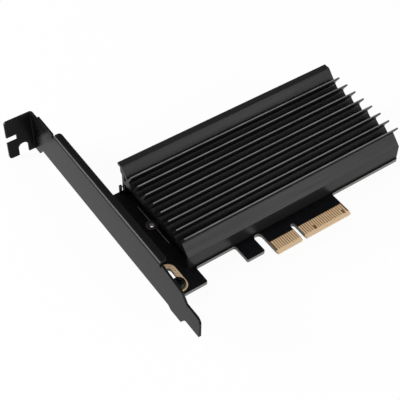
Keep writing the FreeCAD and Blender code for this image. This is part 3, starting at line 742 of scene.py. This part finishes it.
@dataclass
class BoardPrint:
    """The printed line beside the drive's nut, and the small plated holes round the slots."""

    shop: FinishShop
    ink_high: float = 0.02 * MM
    line_wide: float = 0.16 * MM
    line_long: float = 22.0 * MM
    line_past_nut: float = 0.7 * MM
    ring_wide: float = 6.8 * MM
    ring_long: float = 13.95 * MM
    via_inset: float = 0.9 * MM
    via_radius: float = 0.16 * MM
    via_step: float = 1.5 * MM
    via_sides: int = 12

    def build(self) -> None:
        """Build the printed line and the via holes, and seat them on the board."""
        board_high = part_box("circuit_board")[1]
        nut_low, nut_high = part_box("drive_nuts")
        axis = (nut_low.y + nut_high.y) / 2
        nut_radius = (nut_high.y - nut_low.y) / 2
        edge = nut_low.x + nut_radius + self.line_past_nut
        half = self.line_long / 2
        printed = bmesh.new()
        self.strip(printed, (edge, axis - half), (edge, axis + half), board_high.z)
        self.seat("board_print", printed, PRINT_INK)
        pads_low, pads_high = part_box("ground_pads_front")
        half_wide, long = self.ring_wide / 2, self.ring_long - self.via_inset * 2
        top_row = pads_high.y - self.via_inset - long
        holes = bmesh.new()
        self.vias(holes, pads_high.x - half_wide, pads_low.y + self.via_inset, long, pads_high.z)
        self.vias(holes, pads_low.x + half_wide, top_row, long, pads_high.z)
        self.seat("ground_vias", holes, VIA_DARK)

    def strip(self, mesh: bmesh.types.BMesh, start: Point, stop: Point, floor: float) -> None:
        """Add a thin printed line to a mesh.

        Args:
            mesh: The mesh that takes it.
            start: Its first end, across and along the board.
            stop: Its other end.
            floor: The height of the face that it lies on.
        """
        first, last = Vector((*start, floor)), Vector((*stop, floor))
        middle = (first + last) / 2 + Vector((0, 0, self.ink_high / 2))
        run = last - first
        turn = Matrix.Rotation(math.atan2(run.y, run.x), 4, "Z")
        scale = Matrix.Diagonal((run.length, self.line_wide, self.ink_high, 1.0))
        bmesh.ops.create_cube(mesh, size=1.0, matrix=Matrix.Translation(middle) @ turn @ scale)

    def vias(
        self, mesh: bmesh.types.BMesh, middle: float, low: float, long: float, floor: float
    ) -> None:
        """Add the dark via holes round one plated slot.

        Args:
            mesh: The mesh that takes them.
            middle: The slot's centre line.
            low: The lowest point of the line of holes.
            long: The length of that line, end to end.
            floor: The height of the plated face.
        """
        radius = self.ring_wide / 2 - self.via_inset
        straight = long - 2 * radius
        around = math.pi * radius
        total = 2 * (straight + around)
        count = round(total / self.via_step)
        for number in range(count):
            spot = self.along_slot(total * number / count, straight, around, radius)
            place = Vector((middle + spot.x, low + radius + spot.y, floor + self.ink_high / 2))
            bmesh.ops.create_cone(
                mesh, cap_ends=True, segments=self.via_sides, radius1=self.via_radius,
                radius2=self.via_radius, depth=self.ink_high, matrix=Matrix.Translation(place),
            )

    def along_slot(self, travel: float, straight: float, around: float, radius: float) -> Vector:
        """Find a point on a slot-shaped line.

        Args:
            travel: The distance along the line from its start.
            straight: The length of each straight side.
            around: The length of each round end.
            radius: The radius of the ends.

        Returns:
            The point, from the centre of the lower end.
        """
        if travel < straight:
            return Vector((radius, travel))
        travel -= straight
        if travel < around:
            turn = travel / radius
            return Vector((radius * math.cos(turn), straight + radius * math.sin(turn)))
        travel -= around
        if travel < straight:
            return Vector((-radius, straight - travel))
        turn = (travel - straight) / radius + math.pi
        return Vector((radius * math.cos(turn), radius * math.sin(turn)))

    def seat(self, name: str, mesh: bmesh.types.BMesh, finish: Finish) -> None:
        """Turn a mesh into a piece of the card.

        Args:
            name: The piece's name.
            mesh: Its mesh.
            finish: Its finish.
        """
        data = finished_mesh(name, mesh)
        data.materials.append(self.shop.material(finish))
        piece = placed_object(name, data)
        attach(piece, "root")
        LOG.info("built %s", name)


@dataclass(frozen=True)
class Lamp:
    """A soft square lamp that looks at the card: its place and width in metres, its power in watts."""

    name: str
    place: Triple
    wide: float
    power: float

    def hang(self) -> None:
        """Hang the lamp and turn it to the card."""
        light = bpy.data.lights.new(self.name, "AREA")
        light.energy = self.power
        light.size = self.wide
        hung = placed_object(self.name, light)
        hung.location = self.place
        hung.rotation_euler = (-Vector(self.place)).to_track_quat("-Z", "Y").to_euler()


LAMPS = (
    Lamp("key_lamp", (0.42, -0.78, 0.46), wide=0.6, power=6.5),
    Lamp("side_lamp", (-0.75, 0.54, 0.39), wide=0.3, power=8.0),
    Lamp("back_lamp", (-0.35, 0.3, 0.9), wide=0.4, power=2.5),
)


@dataclass
class Studio:
    """The pale floor, the soft lamps, the world and the camera."""

    floor_high: float
    floor_wide: float = 6.0
    floor_colour: Colour = (0.86, 0.86, 0.86)
    floor_shown: float = 0.95
    world_level: float = 0.2
    azimuth: float = -35.669
    elevation: float = 48.433
    roll: float = 1.271
    aim: Triple = (39.589 * MM, -14.315 * MM, -377.221 * MM)
    focal_pixels: float = 1002.631
    frame_pixels: float = 400.0
    sensor: float = 36.0
    clip_start: float = 0.01

    def build(self) -> None:
        """Set up the whole studio."""
        self.lay_floor()
        for lamp in LAMPS:
            lamp.hang()
        self.light_world()
        self.place_camera()
        bpy.context.scene.view_settings.view_transform = "Standard"

    def lay_floor(self) -> None:
        """Lay the floor under the card's lowest point."""
        shape = bmesh.new()
        bmesh.ops.create_grid(shape, x_segments=1, y_segments=1, size=self.floor_wide / 2)
        data = finished_mesh("floor", shape)
        data.materials.append(self.floor_material())
        floor = placed_object("floor", data)
        floor.location.z = self.floor_high
        floor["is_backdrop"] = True

    def floor_material(self) -> bpy.types.Material:
        """Make the matt floor, which a camera, a gloss or a glass sees as mostly white.

        Returns:
            The material.
        """
        material = bpy.data.materials.new("pale_floor")
        material.use_nodes = True
        tree = material.node_tree
        tree.nodes.clear()
        matt = add_node(tree, "ShaderNodeBsdfDiffuse", {"Color": opaque(self.floor_colour)})
        white = add_node(tree, "ShaderNodeEmission", {"Color": opaque(WHITE), "Strength": 1.0})
        path = add_node(tree, "ShaderNodeLightPath")
        seen = calculate(tree, "MAXIMUM", path.outputs["Is Camera Ray"], path.outputs["Is Glossy Ray"])
        clear = calculate(tree, "MAXIMUM", seen, path.outputs["Is Transmission Ray"])
        share = calculate(tree, "MULTIPLY", clear, self.floor_shown)
        blend = add_node(
            tree, "ShaderNodeMixShader", {0: share, 1: matt.outputs[0], 2: white.outputs[0]}
        )
        out = add_node(tree, "ShaderNodeOutputMaterial")
        tree.links.new(blend.outputs[0], out.inputs["Surface"])
        return material

    def light_world(self) -> None:
        """Fill the world with even light, seen as white."""
        world = bpy.data.worlds.new("pale_world")
        bpy.context.scene.world = world
        world.use_nodes = True
        tree = world.node_tree
        ground = tree.nodes["Background"]
        ground.inputs["Color"].default_value = opaque(WHITE)
        path = add_node(tree, "ShaderNodeLightPath")
        level = follow_ramp(tree, path.outputs["Is Camera Ray"], Ramp(0.0, 1.0, self.world_level, 1.0))
        tree.links.new(level, ground.inputs["Strength"])

    def place_camera(self) -> None:
        """Place the camera at the photograph's viewing angle."""
        turn, rise, roll = (math.radians(v) for v in (self.azimuth, self.elevation, self.roll))
        back = Vector((math.sin(turn) * math.cos(rise), -math.cos(turn) * math.cos(rise), math.sin(rise)))
        level = Vector((math.cos(turn), math.sin(turn), 0.0))
        up = back.cross(level)
        right = math.cos(roll) * level + math.sin(roll) * up
        top = -math.sin(roll) * level + math.cos(roll) * up
        turned = Matrix((right, top, back)).transposed()
        lens = bpy.data.cameras.new("camera")
        lens.sensor_width = self.sensor
        lens.lens = self.focal_pixels / self.frame_pixels * self.sensor
        lens.clip_start = self.clip_start
        camera = placed_object("camera", lens)
        camera.matrix_world = Matrix.Translation(-(turned @ Vector(self.aim))) @ turned.to_4x4()
        bpy.context.scene.camera = camera


def as_list(bounds: tuple[Vector, Vector]) -> list[list[float]]:
    """Give a box as plain numbers."""
    return [list(corner) for corner in bounds]


def main() -> None:
    """Dress the card, set up the studio, and lay the floor under the card's lowest point."""
    logging.basicConfig(level=logging.INFO, format="%(message)s")
    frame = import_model()
    packed = as_list(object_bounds())
    shop = FinishShop()
    CardBody(shop, frame["nodes"]).dress()
    FinnedSink(shop).build(frame["nodes"]["heatsink"])
    BoardPrint(shop).build()
    Studio(floor_high=packed[0][2]).build()


if __name__ == "__main__":
    main()
